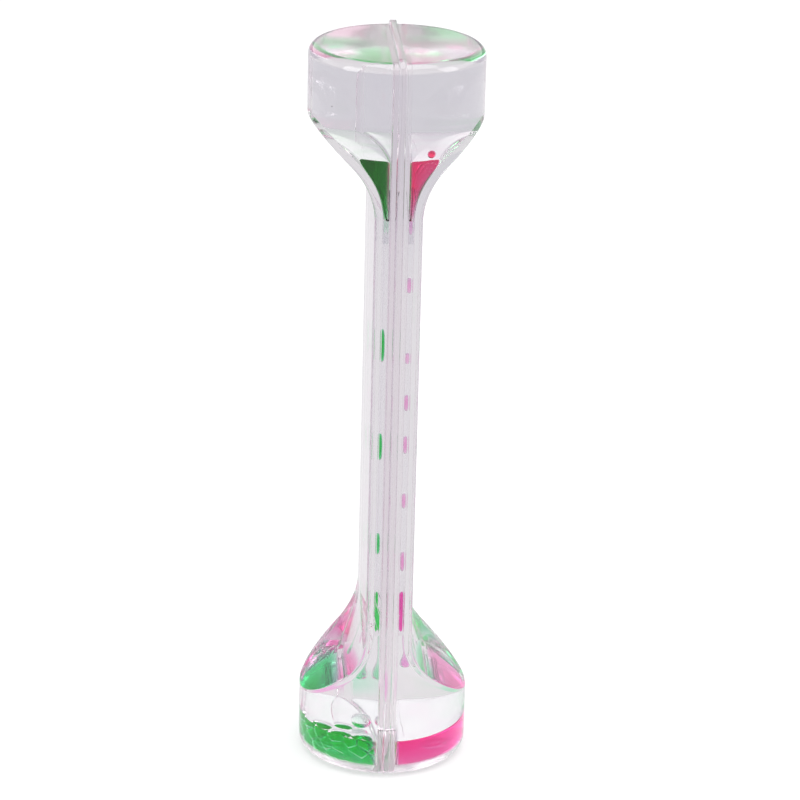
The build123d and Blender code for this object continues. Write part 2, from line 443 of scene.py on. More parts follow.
@dataclass(frozen=True)
class FloorPaint(Finish):
    """The studio floor's paint.

    It is white for the camera, pale for mirrored rays, and for rays that pass through the timer
    pale beside it, greyer far off, with soft painted shadows in the liquids' colours behind it.
    """

    paint: Colour = (0.86, 0.86, 0.86)
    white: Colour = (1.0, 1.0, 1.0)
    mirrored: Colour = (0.9, 0.895, 0.905)
    near_tint: Colour = (0.78, 0.755, 0.775)
    beside_tint: Colour = (0.705, 0.68, 0.71)
    far_tint: Colour = (0.6, 0.585, 0.635)
    beside: Pair = (0.04, 0.13)
    far: Pair = (0.38, 0.6)
    # Painted coloured shadows of the two liquids on the floor: their place, size, soft core,
    # strength and colours.
    cast_x: float = 16 * MM
    cast_y: float = 50 * MM
    cast_size: float = 15 * MM
    cast_core: float = 0.35
    cast_share: float = 0.75
    green_cast: Colour = (0.32, 0.72, 0.5)
    pink_cast: Colour = (0.85, 0.3, 0.7)
    camera_glow: float = 0.55
    other_glow: float = 0.92

    def shade(self, graph: Graph) -> dict[str, bpy.types.NodeSocket]:
        """The paint's shader, part paint that takes shadows and part glow.

        Args:
            graph: The material's graph.

        Returns:
            The shader, for the surface.
        """
        away = graph.distance((0.0, 0.0, 0.0))
        near = graph.blend(away.spread(self.beside), self.near_tint, self.beside_tint)
        seen = graph.blend(away.spread(self.far), near, self.far_tint)
        # Painted shadows: a soft green patch and a soft pink patch on the floor behind the timer,
        # where light through the liquids would fall. Rays that pass through the timer see them.
        span = (self.cast_core * self.cast_size, self.cast_size)
        for x, tint in ((-self.cast_x, self.green_cast), (self.cast_x, self.pink_cast)):
            reach = graph.distance((x, self.cast_y, 0.0))
            seen = graph.blend(reach.spread(span, self.cast_share, 0.0), seen, tint)
        shown, glossy, passed = (graph.ray(word) for word in ("Camera", "Glossy", "Transmission"))
        seen = graph.blend(glossy * (1 - passed), seen, self.mirrored)
        colour = graph.blend(shown, seen, self.white)
        paint = graph.shader("BsdfDiffuse", {"Color": self.paint})
        glow = graph.shader("Emission", {"Color": colour, "Strength": 1.0})
        share = shown * self.camera_glow + passed.larger(glossy) * self.other_glow
        return {"Surface": graph.shader("MixShader", {0: share, 1: paint, 2: glow})}


PLASTIC = MouldedPlastic("clear_moulded_plastic", (0.985, 0.985, 0.985), (0.97, 0.966, 0.972))
RIB_PLASTIC = MouldedPlastic(
    "clear_plate_plastic",
    (0.935, 0.908, 0.924),
    (0.91, 0.882, 0.9),
    ripple_size=26 * MM,
    ripple_depth=0.05 * MM,
    ends=(0.0, 196 * MM),
)
COVER_PLASTIC = MouldedPlastic("clear_cover_plastic", (0.96, 0.942, 0.954), (0.945, 0.924, 0.938))
WALL = ClearFinish("wetted_wall", (0.995, 0.995, 0.993), (0.985, 0.983, 0.987), 1.035)
PARTING = replace(WALL, name="wetted_parting_face", ior=0.985, ripple_depth=0.002 * MM)
NOZZLE = ClearFinish("nozzle_plastic", (0.97, 0.965, 0.97), (0.95, 0.94, 0.95), 1.015)
PLUG = ClearFinish("plug_plastic", (0.975, 0.975, 0.97), (0.95, 0.95, 0.945), 1.03)
BOND = BondedFace("bonded_face")
SAWN = ClearFinish(
    "sawn_plate_edge",
    (0.97, 0.92, 0.955),
    (0.90, 0.84, 0.88),
    1.49,
    drift_size=1.2 * MM,
    drift_detail=3.0,
    drift_span=(0.35, 0.65),
    clear_share=0.75,
    roughness=0.4,
    ripple_depth=0.0,
)
OIL = ClearFinish(
    "clear_oil",
    (0.99, 0.988, 0.993),
    (0.982, 0.979, 0.988),
    1.0,
    drift_size=12 * MM,
    drift_span=(0.35, 0.65),
    ripple_depth=0.0,
)
POOL_WATER: dict[Dye, DyedWater] = {
    Dye.GREEN: DyedWater("green_dyed_water", (0.0, 0.9, 0.5), 240.0, skin_deep=(0.97, 1.0, 0.98)),
    Dye.PINK: DyedWater("pink_dyed_water", (0.999, 0.0, 0.63), 105.0, skin_deep=(1.0, 0.97, 0.99)),
}
FUNNEL_WATER: dict[Dye, DyedWater] = {
    Dye.GREEN: DyedWater("deep_green_water", (0.08, 0.84, 0.32), 320.0, skin_deep=(0.9, 0.97, 0.9)),
    Dye.PINK: DyedWater("red_pink_water", (0.999, 0.0, 0.47), 80.0, skin_deep=(1.0, 0.94, 0.97)),
}
DROP_WATER: dict[Dye, DyedWater] = {
    Dye.GREEN: DyedWater(
        "green_drop_water", (0.0, 0.88, 0.4), 1000.0, (0.95, 1.0, 0.96), (0.88, 0.99, 0.9)
    ),
    Dye.PINK: DyedWater(
        "pink_drop_water", (0.985, 0.0, 0.68), 260.0, (1.0, 0.96, 0.99), (1.0, 0.9, 0.97)
    ),
}
THREAD_WATER: dict[Dye, DyedWater] = {
    Dye.GREEN: DyedWater(
        "green_thread_water", (0.0, 0.9, 0.4), 1800.0, (0.55, 0.97, 0.62), (0.4, 0.93, 0.5)
    ),
    Dye.PINK: DyedWater(
        "pink_thread_water", (0.985, 0.0, 0.66), 1200.0, (1.0, 0.6, 0.88), (1.0, 0.5, 0.82)
    ),
}
PALE_WATER: dict[Dye, DyedWater] = {
    Dye.GREEN: DyedWater(
        "pale_green_water", (0.2, 0.85, 0.5), 420.0, (0.97, 1.0, 0.98), (0.93, 0.99, 0.95), 0.86
    ),
    Dye.PINK: DyedWater(
        "pale_pink_water", (0.9, 0.2, 0.75), 420.0, (1.0, 0.95, 0.99), (0.99, 0.9, 0.97), 0.87
    ),
}
CLEARED_WATER = DyedWater(
    "cleared_drop_water", (0.35, 0.85, 0.6), 40.0, skin_deep=(0.97, 1.0, 0.98), ior=0.9
)
BEAD_WATER = DyedWater(
    "red_bead_water", (0.985, 0.0, 0.35), 900.0, (1.0, 0.6, 0.75), (1.0, 0.5, 0.66)
)


# Meshes


class Draft:
    """A mesh in the making, with the kind of each face."""

    def __init__(self) -> None:
        """Starts with no points and no faces."""
        self.points: Ring = []
        self.faces: list[tuple[int, ...]] = []
        self.kinds: list[Face] = []

    def ring(self, points: Ring) -> list[int]:
        """Adds a row of points and gives their numbers."""
        self.points.extend(points)
        return list(range(len(self.points) - len(points), len(self.points)))

    def face(self, numbers: list[int], kind: Face = Face.OUTER) -> None:
        """Adds one face over the points of these numbers."""
        self.faces.append(tuple(numbers))
        self.kinds.append(kind)

    def fan(self, row: list[int], tip: Point) -> None:
        """Closes a row of points with three-sided faces that meet at a tip.

        Args:
            row: Numbers of the row.
            tip: The tip.
        """
        top = self.ring([tip])[0]
        for k, number in enumerate(row):
            self.face([number, row[(k + 1) % len(row)], top])

    def skin(self, rows: list[list[int]], kind: Face = Face.OUTER, closed: bool = True) -> None:
        """Joins each row to the next by four-sided faces.

        Args:
            rows: Numbers of the rows, all of one length.
            kind: Kind of the faces.
            closed: True if the rows run round to their start.
        """
        count = len(rows[0])
        for first, second in zip(rows, rows[1:]):
            for k in range(count if closed else count - 1):
                after = (k + 1) % count
                self.face([first[k], first[after], second[after], second[k]], kind)

    def sawn_below(self, height: float) -> None:
        """Turns the faces that lie below a height into sawn ones.

        Args:
            height: The height.
        """
        for k, numbers in enumerate(self.faces):
            if max(self.points[n][2] for n in numbers) < height:
                self.kinds[k] = Face.SAWN

    def build(
        self, name: str, finishes: dict[Face, Finish], crease: float = 32.0
    ) -> bpy.types.Object:
        """Makes the object.

        Args:
            name: The piece's name.
            finishes: The finish of each kind of face.
            crease: Angle in degrees above which an edge stays sharp.

        Returns:
            The new object, with its faces turned outwards.
        """
        mesh = bpy.data.meshes.new(name)
        mesh.from_pydata(self.points, [], self.faces)
        for finish in finishes.values():
            mesh.materials.append(finish.build())
        slots = {kind: number for number, kind in enumerate(finishes)}
        mesh.polygons.foreach_set("material_index", [slots[kind] for kind in self.kinds])
        work = bmesh.new()
        work.from_mesh(mesh)
        bmesh.ops.remove_doubles(work, verts=work.verts, dist=WELD)
        bmesh.ops.dissolve_degenerate(work, edges=work.edges, dist=SLIVER)
        bmesh.ops.recalc_face_normals(work, faces=work.faces)
        loose = [point for point in work.verts if not point.link_faces]
        bmesh.ops.delete(work, geom=loose, context="VERTS")
        open_edges = sum(1 for edge in work.edges if len(edge.link_faces) != 2)
        work.to_mesh(mesh)
        work.free()
        mesh.shade_smooth()
        mesh.set_sharp_from_angle(angle=math.radians(crease))
        made = bpy.data.objects.new(name, mesh)
        bpy.context.scene.collection.objects.link(made)
        log.info("%s: %d faces, %d open edges", name, len(mesh.polygons), open_edges)
        return made


def settle(piece: bpy.types.Object, body: str, node: str) -> None:
    """Lets a piece ride on its body and stand for its CAD node.

    Args:
        piece: The piece.
        body: The CAD body that it rides on.
        node: The CAD node that it stands for.
    """
    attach(piece, body)
    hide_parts(node)


def standing(name: str) -> tuple[Point, Point]:
    """Where a CAD node stands.

    Args:
        name: The node.

    Returns:
        The middle of the underside of its box, and the box's sizes.
    """
    low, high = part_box(name)
    foot = ((low.x + high.x) / 2, (low.y + high.y) / 2, low.z)
    return foot, (high.x - low.x, high.y - low.y, high.z - low.z)


# The housing


@dataclass(frozen=True)
class Form:
    """A half of the dumbbell, as the outer skin or moved inwards as the cavity.

    A level's section is a half disc cut flat by the waist, with its corners rounded.
    """

    radius: float
    low: float
    high: float
    height: float
    stem_half: float
    neck_radius: float
    neck_middle: Pair
    slope: float
    end_round: float
    edge: float
    arc_steps: int = 64
    corner_steps: int = 8
    flank_steps: int = 13
    soft_steps: int = 9
    end_steps: int = 11
    wall_steps: int = 8
    rim_steps: int = 14
    slope_steps: int = 22
    neck_steps: int = 26
    stem_steps: int = 16
    rim_first: float = 0.02
    least_corner: float = math.radians(3.0)
    least_width: float = 0.1 * MM
    least_rise: float = 0.004 * MM
    least_cut: float = 0.001 * MM
    most_soft: float = 0.45

    def radius_at(self, z: float) -> float:
        """Radius of the round wall at a height, less the rounding of the ends.

        Args:
            z: The height.

        Returns:
            The radius.
        """
        depth = self.end_round - min(z - self.low, self.high - z)
        if depth <= 0:
            return self.radius
        return self.radius - self.end_round + math.sqrt(max(self.end_round**2 - depth**2, 0.0))

    def marks(self) -> tuple[float, float, float, float]:
        """Heights where the waist changes.

        Returns:
            Where its rounded rim starts and ends, its slope ends and its stem starts.
        """
        middle_x, middle_z = self.neck_middle
        slope_end = middle_z - self.neck_radius * math.cos(self.slope)
        slope_x = middle_x - self.neck_radius * math.sin(self.slope)
        rim_x = self.radius - self.edge
        line_x = rim_x + self.edge * math.sin(self.slope)
        rim_end = slope_end - (line_x - slope_x) * math.tan(self.slope)
        rim_start = rim_end - self.edge * math.cos(self.slope)
        return rim_start, rim_end, slope_end, middle_z

    def half_width(self, z: float) -> float:
        """How far the waist lets the section reach outwards.

        Args:
            z: The height.

        Returns:
            The reach from the middle plane.
        """
        depth = min(z, self.height - z)
        rim_start, rim_end, slope_end, stem_start = self.marks()
        middle_x, middle_z = self.neck_middle
        if depth <= rim_start:
            return self.radius
        if depth <= rim_end:
            fall = max(self.edge**2 - (depth - rim_start) ** 2, 0.0)
            return self.radius - self.edge + math.sqrt(fall)
        if depth <= slope_end:
            slope_x = middle_x - self.neck_radius * math.sin(self.slope)
            return slope_x + (slope_end - depth) / math.tan(self.slope)
        if depth < stem_start:
            return middle_x - math.sqrt(self.neck_radius**2 - (middle_z - depth) ** 2)
        return self.stem_half

    def heights(self, low: float, high: float) -> list[float]:
        """Heights of the sections between two heights, close together where the form bends.

        Args:
            low: Lowest height.
            high: Highest height.

        Returns:
            The heights in order, both ends included.
        """
        rim_start, rim_end, slope_end, stem_start = self.marks()
        ends = spaced(0.0, QUARTER, self.end_steps)
        rims = spaced(self.rim_first, QUARTER, self.rim_steps)
        necks = spaced(self.slope, QUARTER, self.neck_steps)
        found = [self.low + self.end_round * (1 - math.cos(t)) for t in ends]
        found += spaced(self.low + self.end_round, rim_start, self.wall_steps)
        found += [rim_start + (rim_end - rim_start) * math.sin(t) for t in rims]
        found += spaced(rim_end, slope_end, self.slope_steps)
        found += [self.neck_middle[1] - self.neck_radius * math.cos(t) for t in necks]
        found += spaced(stem_start, self.height / 2, self.stem_steps)
        found += [self.height - z for z in found]
        kept = [low]
        for z in sorted(z for z in found if low + self.least_rise < z < high - self.least_rise):
            if z - kept[-1] > self.least_rise:
                kept.append(z)
        return kept + [high]

    def section(
        self,
        z: float,
        near: float,
        side: Side,
        soft: float = 0.0,
        shrink: float = 0.0,
        cut_steps: int = 1,
    ) -> Ring:
        """The section's outline at a height, from the front cut round to the back cut.

        Args:
            z: The height.
            near: Distance of the cut from the middle plane.
            side: The half.
            soft: Rounding of the corners at the cut; zero keeps them sharp.
            shrink: How far the whole outline moves inwards.
            cut_steps: Steps along the cut; more than one adds points between its ends.

        Returns:
            The outline's points.
        """
        radius = self.radius_at(z) - shrink
        width = self.half_width(z) - (self.radius - radius)
        near = min(near + shrink, min(width, radius) - self.least_width)
        soft = min(soft, self.most_soft * (min(width, radius) - near))
        start = math.acos((near + soft) / (radius - soft))
        front: list[Pair] = []
        if soft > 0:
            hub = arc((0.0, 0.0), radius - soft, [start])[0]
            front += arc(hub, soft, spaced(math.pi, start, self.soft_steps)[:-1])
        if width < radius - self.least_cut:
            reach = radius - self.edge
            corner = math.acos(clamp((width - self.edge) / reach, -1.0, 1.0))
            hub = arc((0.0, 0.0), reach, [corner])[0]
            front += arc((0.0, 0.0), radius, spaced(start, corner, self.arc_steps))
            front += arc(hub, self.edge, spaced(corner, 0.0, self.corner_steps + 1)[1:])
            flank = spaced(hub[1], 0.0, self.flank_steps + 1)[1:]
            front += [(hub[0] + self.edge, y) for y in flank]
        else:
            turns = spaced(start, self.least_corner, self.arc_steps)
            last_steps = self.corner_steps + self.flank_steps + 1
            turns += spaced(self.least_corner, 0.0, last_steps)[1:]
            front += arc((0.0, 0.0), radius, turns)
        back = [(x, -y) for x, y in reversed(front[:-1])]
        cut_x, cut_y = front[0]
        cut = [(cut_x, y) for y in spaced(-cut_y, cut_y, cut_steps + 1)[1:-1]]
        return [(side.value * x, y, z) for x, y in front + back + cut]


@dataclass(frozen=True)
class Housing:
    """Sizes of the clear housing, in metres, and the meshes of its five pieces."""

    radius: float
    height: float
    shell_wall: float = 2.2 * MM
    plate_half: float = 1.0 * MM
    divider_half: float = 2.35 * MM
    stem_half: float = 6.05 * MM
    head_side: float = 17.8 * MM
    slope: float = math.radians(42.0)
    neck_radius: float = 18.0 * MM
    end_round: float = 3.0 * MM
    edge_round: float = 1.4 * MM
    cavity_end_round: float = 0.9 * MM
    cavity_edge_round: float = 0.8 * MM
    rib_stand: float = 1.0 * MM
    rib_round: float = 0.45 * MM
    rib_steps: int = 5
    seam: float = 0.04 * MM
    sawn_reach: float = 0.5 * MM

    @classmethod
    def measured(cls) -> "Housing":
        """The housing, as large as the shells' nodes.

        Returns:
            The housing.
        """
        low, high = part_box("right_shell")
        left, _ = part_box("left_shell")
        radius = min(math.hypot((high.y - low.y) / 2, low.x), -left.x)
        return cls(radius=radius, height=high.z)

    @property
    def neck_end(self) -> float:
        """Height where the lower neck becomes the straight stem."""
        corner = self.head_side + (self.radius - self.stem_half) * math.tan(self.slope)
        return corner + self.neck_radius * math.tan((QUARTER - self.slope) / 2)

    def form(self, inset: float) -> Form:
        """The half dumbbell, with every wall moved inwards.

        Args:
            inset: How far the walls move; zero gives the outer skin.

        Returns:
            The form.
        """
        inner = inset > 0
        return Form(
            radius=self.radius - inset,
            low=inset,
            high=self.height - inset,
            height=self.height,
            stem_half=self.stem_half - inset,
            neck_radius=self.neck_radius + inset,
            neck_middle=(self.stem_half + self.neck_radius, self.neck_end),
            slope=self.slope,
            end_round=self.cavity_end_round if inner else self.end_round,
            edge=self.cavity_edge_round if inner else self.edge_round,
        )

    def cut_outline(self, form: Form, x: float, inset: float = 0.0) -> Ring:
        """Where a form's skin meets an upright plane beside the middle one.

        Args:
            form: The form.
            x: Signed distance of the plane from the middle one.
            inset: How far the outline moves inwards.

        Returns:
            The closed outline from the base up the front and down the back.
        """
        front: Ring = []
        for z in form.heights(form.low, form.high):
            lower, upper = z - form.low, form.high - z
            tilt = clamp(1 - min(lower, upper) / form.end_round, 0.0, 1.0)
            rise = inset * math.copysign(tilt, upper - lower)
            reach = math.sqrt(form.radius_at(z) ** 2 - x * x) - inset * math.sqrt(1 - tilt * tilt)
            front.append((x, -reach, z + rise))
        return front + [(x, -y, z) for _, y, z in reversed(front)]

    def shell(self, side: Side) -> bpy.types.Object:
        """Builds one half shell: its outer skin, its cavity and the rim bonded to the cover plate.

        Args:
            side: The half.

        Returns:
            The shell.
        """
        draft = Draft()
        rims: list[list[int]] = []
        skins = ((0.0, self.seam, Face.OUTER), (self.shell_wall, 0.0, Face.WETTED))
        for inset, soft, kind in skins:
            form = self.form(inset)
            rows = [
                draft.ring(form.section(z, self.divider_half, side, soft))
                for z in form.heights(form.low, form.high)
            ]
            draft.skin(rows, kind, closed=False)
            draft.face(rows[0], kind)
            draft.face(rows[-1], kind)
            rims.append([row[0] for row in rows] + [row[-1] for row in reversed(rows)])
        draft.skin(rims, Face.BONDED)
        finishes = {Face.OUTER: PLASTIC, Face.WETTED: WALL, Face.BONDED: BOND}
        return draft.build(f"{side.word}_shell_moulding", finishes)

    def cover_plate(self, side: Side) -> bpy.types.Object:
        """Builds one cover plate, which closes its half shell.

        Args:
            side: The half.

        Returns:
            The plate.
        """
        draft = Draft()
        outer, cavity = self.form(0.0), self.form(self.shell_wall)
        near, far, seam = self.plate_half, self.divider_half, self.seam
        edges = ((near, seam), (near + seam, 0.0), (far - seam, 0.0), (far, seam))
        rows = [draft.ring(self.cut_outline(outer, side.value * x, inset)) for x, inset in edges]
        rim = draft.ring(self.cut_outline(cavity, side.value * far))
        draft.face(rows[0], Face.BONDED)
        draft.skin(rows)
        draft.skin([rows[-1], rim], Face.BONDED)
        draft.face(rim, Face.WETTED)
        draft.sawn_below(self.sawn_reach)
        finishes = {
            Face.OUTER: COVER_PLASTIC, Face.WETTED: PARTING, Face.BONDED: BOND, Face.SAWN: SAWN
        }
        return draft.build(f"{side.word}_cover_sheet", finishes)

    def rib_outline(self, heights: list[float], x: float, inset: float) -> Ring:
        """The centre plate's outline, proud of the shells except at the base.

        Args:
            heights: Heights of the outer skin that its points belong to.
            x: Distance from the middle plane.
            inset: How far the outline moves inwards.

        Returns:
            The closed outline from the base up the front and down the back.
        """
        corner = self.end_round + self.rib_stand - inset
        depth = self.radius + self.rib_stand - inset
        low, high = inset, self.height + self.rib_stand - inset
        front: Ring = []
        for z in heights:
            end = min(z, self.height - z)
            if end <= self.end_round:
                turn = math.acos(clamp(1 - end / self.end_round, -1.0, 1.0))
                reach = depth - corner + corner * math.sin(turn)
                rise = corner * (1 - math.cos(turn))
                front.append((x, -reach, low + rise if end == z else high - rise))
            else:
                share = (z - self.end_round) / (self.height - 2 * self.end_round)
                front.append((x, -depth, low + corner + share * (high - low - 2 * corner)))
        return front + [(x, -y, z) for x, y, z in reversed(front)]

    def centre_plate(self) -> bpy.types.Object:
        """Builds the centre plate, whose rim stands proud of the shells as a rib.

        Returns:
            The plate.
        """
        draft = Draft()
        outer = self.form(0.0)
        heights = outer.heights(outer.low, outer.high)
        rows: list[list[int]] = []
        for side in Side:
            row = draft.ring(self.cut_outline(outer, side.value * self.plate_half))
            draft.face(row, Face.BONDED)
            side_rows = [row]
            for t in spaced(0.0, QUARTER, self.rib_steps):
                x = self.plate_half - self.rib_round * (1 - math.sin(QUARTER - t))
                inset = self.rib_round * (1 - math.sin(t))
                side_rows.append(draft.ring(self.rib_outline(heights, side.value * x, inset)))
            rows += side_rows if side is Side.LEFT else list(reversed(side_rows))
        draft.skin(rows)
        draft.sawn_below(self.sawn_reach)
        finishes = {Face.OUTER: RIB_PLASTIC, Face.BONDED: BOND, Face.SAWN: SAWN}
        return draft.build("centre_rib_plate", finishes)

    def build(self) -> None:
        """Builds and seats the housing's pieces."""
        for side in Side:
            settle(self.shell(side), "housing", f"{side.word}_shell")
            plate = self.cover_plate(side)
            settle(plate, "housing", f"{side.word}_cover_plate")
        settle(self.centre_plate(), "housing", "centre_plate")


# Liquids


@dataclass(frozen=True)
class Dome:
    """The top of a drop that lies in a pool without joining it."""

    x: float
    y: float
    radius: float
    stand: float

    def lift(self, x: float, y: float) -> float:
        """How far the dome stands above the pool at a place.

        Args:
            x: Place along X.
            y: Place along Y.

        Returns:
            The height, zero outside the dome.
        """
        ball = (self.radius**2 + self.stand**2) / (2 * self.stand)
        away = math.hypot(x - self.x, y - self.y)
        if away >= self.radius:
            return 0.0
        return math.sqrt(ball**2 - away**2) - (ball - self.stand)


@dataclass(frozen=True)
class Liquids:
    """Sizes of the liquids, in metres, and the meshes of the pools and the clear liquids.

    Each of dome_places is a dome's share of the cavity's radius outwards and frontwards, and its
    size as a share of dome_radius.
    """

    housing: Housing
    film: float = 0.1 * MM
    clear_gap: float = 0.05 * MM
    surface_gap: float = 0.15 * MM
    pool_level: float = 9.5 * MM
    nozzle_length: float = 5.9 * MM
    lane_gap: float = 1.5 * MM
    lane_half_width: float = 2.55 * MM
    stem_arc_steps: int = 5
    stem_levels: int = 9
    funnel_depth: float = 15.6 * MM
    funnel_crown: float = 1.9 * MM
    pool_edge: float = 0.7 * MM
    pool_corner: float = 0.9 * MM
    pool_crease: float = 40.0
    edge_steps: int = 9
    level_steps: int = 44
    cut_steps: int = 40
    surface_rings: int = 26
    swell: float = 0.25 * MM
    dome_radius: float = 3.4 * MM
    dome_stand: float = 0.9 * MM
    dome_places: tuple[Point, ...] = (
        (0.26, 0.76, 1.0), (0.52, 0.66, 0.9), (0.7, 0.4, 0.94), (0.42, 0.36, 0.8)
    )
    groove: float = 1.4 * MM
    groove_width: float = 1.2 * MM
    groove_least_x: float = 3.2 * MM
    cell_arc_steps: int = 150
    cell_rows: int = 3
    cell_count: int = 8
    cell_width: float = 5.4 * MM
    cell_stretch: float = 1.3
    cell_shift: float = 0.22
    cell_rise: float = 0.2
    seed: int = 7

    def domes(self) -> list[Dome]:
        """The drops that lie in the green pool without joining it.

        Returns:
            Their domes.
        """
        radius = self.housing.radius - self.housing.shell_wall
        return [
            Dome(-radius * across, -radius * front, self.dome_radius * size, self.dome_stand)
            for across, front, size in self.dome_places
        ]

    def cells(self, low: float, high: float) -> list[Pair]:
        """Middles of the drops along the green pool's wall.

        Args:
            low: Height of the pool's bottom.
            high: Height of its surface.

        Returns:
            Place along the wall and height of each.
        """
        rng = random.Random(self.seed)
        places = []
        for row in range(self.cell_rows):
            for k in range(-self.cell_count, self.cell_count + 1):
                shift = rng.uniform(-self.cell_shift, self.cell_shift)
                share = (row + 0.5 + rng.uniform(-self.cell_rise, self.cell_rise)) / self.cell_rows
                along = (k + 0.5 * (row % 2) + shift) * self.cell_width
                places.append((along, low + (high - low) * share))
        return places

    def grooved(self, point: Point, cells: list[Pair]) -> Point:
        """Draws a wall point inwards where two drops meet.

        Args:
            point: The point.
            cells: Middles of the drops.

        Returns:
            The moved point.
        """
        x, y, z = point
        radius = math.hypot(x, y)
        along = math.atan2(y, -x) * radius
        away = sorted(math.hypot(along - c, self.cell_stretch * (z - h)) for c, h in cells)
        scale = 1 - self.groove * math.exp(-(away[1] - away[0]) / self.groove_width) / radius
        return x * scale if abs(x) > self.groove_least_x else x, y * scale, z

    def surface(self, draft: Draft, edge: list[int], level: float, domes: list[Dome]) -> None:
        """Closes a liquid's outline with its surface, swollen a little and with its domes.

        Args:
            draft: The draft that takes the faces.
            edge: Numbers of the outline's points.
            level: Height of the surface at its edge.
            domes: Domes on it.
        """
        outline = [draft.points[n] for n in edge]
        across = [x for x, _, _ in outline]
        middle = (min(across) + max(across)) / 2
        rows = [edge]
        for ring in range(1, self.surface_rings):
            share = 1 - ring / self.surface_rings
            points: Ring = []
            for x, y, _ in outline:
                px, py = middle + (x - middle) * share, y * share
                dome = max((dome.lift(px, py) for dome in domes), default=0.0)
                points.append((px, py, level + max(self.swell * (1 - share**2), dome)))
            rows.append(draft.ring(points))
        draft.skin(rows)
        draft.fan(rows[-1], (middle, 0.0, level + self.swell))

    def pool(
        self,
        side: Side,
        low: float,
        high: float,
        domes: list[Dome],
        cells: list[Pair],
        crown: float = 0.0,
    ) -> Draft:
        """Drafts a pool: walls that follow the cavity, rounded off where clear liquid gets under.

        Args:
            side: The half.
            low: Height of its bottom.
            high: Height of its surface.
            domes: Domes on its surface.
            cells: Middles of the drops that show along its wall, if any.
            crown: How far its surface draws back from the outer wall.

        Returns:
            The draft.
        """
        form = self.housing.form(self.housing.shell_wall + self.film)
        if cells:
            form = replace(form, arc_steps=self.cell_arc_steps)
        near = self.housing.divider_half + self.film
        edge = self.pool_edge
        turns = spaced(0.0, QUARTER, self.edge_steps)
        levels = [(low + edge * (1 - math.cos(t)), edge * (1 - math.sin(t))) for t in turns]
        levels += [(z, 0.0) for z in spaced(low + edge, high - edge, self.level_steps)[1:-1]]
        levels += [(high - edge * (1 - math.sin(t)), edge * (1 - math.cos(t))) for t in turns]
        draft = Draft()
        rows: list[list[int]] = []
        for z, shrink in levels:
            outline = form.section(z, near, side, self.pool_corner, shrink, self.cut_steps)
            if cells:
                outline = [self.grooved(point, cells) for point in outline]
            if crown:
                rise = clamp((z - high + 2 * crown) / (2 * crown), 0.0, 1.0)
                drawn = side.value * crown * (1 - math.sqrt(1 - rise * rise))
                width = max(abs(x) for x, _, _ in outline) - near
                outline = [(x - drawn * (abs(x) - near) / width, y, h) for x, y, h in outline]
            rows.append(draft.ring(outline))
        draft.skin(rows)
        self.surface(draft, rows[-1], high, domes)
        draft.face(rows[0])
        return draft

    def clear_layer(self, side: Side, low: float, high: float, domes: list[Dome]) -> Draft:
        """Drafts a layer of the clear liquid, whose underside follows the pool below it.

        Args:
            side: The half.
            low: Lowest height.
            high: Highest height.
            domes: Domes of the pool below it.

        Returns:
            The draft.
        """
        gap = self.film + self.clear_gap
        form = self.housing.form(self.housing.shell_wall + gap)
        near = self.housing.divider_half + gap
        draft = Draft()
        rows = [
            draft.ring(form.section(z, near, side, cut_steps=self.cut_steps))
            for z in form.heights(max(low, form.low), min(high, form.high))
        ]
        draft.skin(rows)
        self.surface(draft, rows[0], low, domes)
        draft.face(rows[-1])
        return draft

    def clear_stem(self, side: Side) -> Draft:
        """Drafts the clear liquid before and behind the lane.

        Args:
            side: The half.

        Returns:
            The draft.
        """
        draft = Draft()
        gap = self.film + self.clear_gap
        radius = self.housing.radius - self.housing.shell_wall - gap
        near = self.housing.divider_half + gap
        far = self.housing.divider_half + self.lane_gap - gap
        end = self.housing.neck_end + self.nozzle_length + gap
        for way in (-1, 1):
            front = spaced(near, far, self.stem_arc_steps)
            outline = [(x, way * math.sqrt(radius**2 - x * x)) for x in front]
            outline += [(far, way * self.lane_half_width), (near, way * self.lane_half_width)]
            rows = [
                draft.ring([(side.value * x, y, z) for x, y in outline])
                for z in spaced(end, self.housing.height - end, self.stem_levels)
            ]
            draft.skin(rows)
            draft.face(rows[0])
            draft.face(rows[-1])
        return draft

    def build(self) -> None:
        """Builds and seats the pools and the clear liquids."""
        height, neck_end = self.housing.height, self.housing.neck_end
        bottom = self.housing.shell_wall + self.film
        funnel_low = height - neck_end + self.film
        funnel_high = height - neck_end + self.funnel_depth
        for dye in Dye:
            side = dye.value
            loose = dye is Dye.GREEN
            domes = self.domes() if loose else []
            cells = self.cells(bottom, self.pool_level) if loose else []
            pools = {
                "base": (self.pool(side, bottom, self.pool_level, domes, cells), POOL_WATER),
                "funnel": (
                    self.pool(side, funnel_low, funnel_high, [], [], self.funnel_crown),
                    FUNNEL_WATER,
                ),
            }
            for word, (draft, water) in pools.items():
                finishes = {Face.OUTER: water[dye]}
                piece = draft.build(f"{dye.word}_{word}_liquid", finishes, self.pool_crease)
                settle(piece, "housing", f"{dye.word}_{word}_pool")
            low, high = self.pool_level + self.surface_gap, neck_end - self.film
            layers = {
                "base": self.clear_layer(side, low, high, domes),
                "stem": self.clear_stem(side),
                "top": self.clear_layer(side, funnel_high + self.surface_gap, height, []),
            }
            for word, draft in layers.items():
                piece = draft.build(f"{side.word}_clear_{word}", {Face.OUTER: OIL})
                settle(piece, "housing", f"{side.word}_clear_liquid_{word}")


# Drops, threads, nozzles and plugs


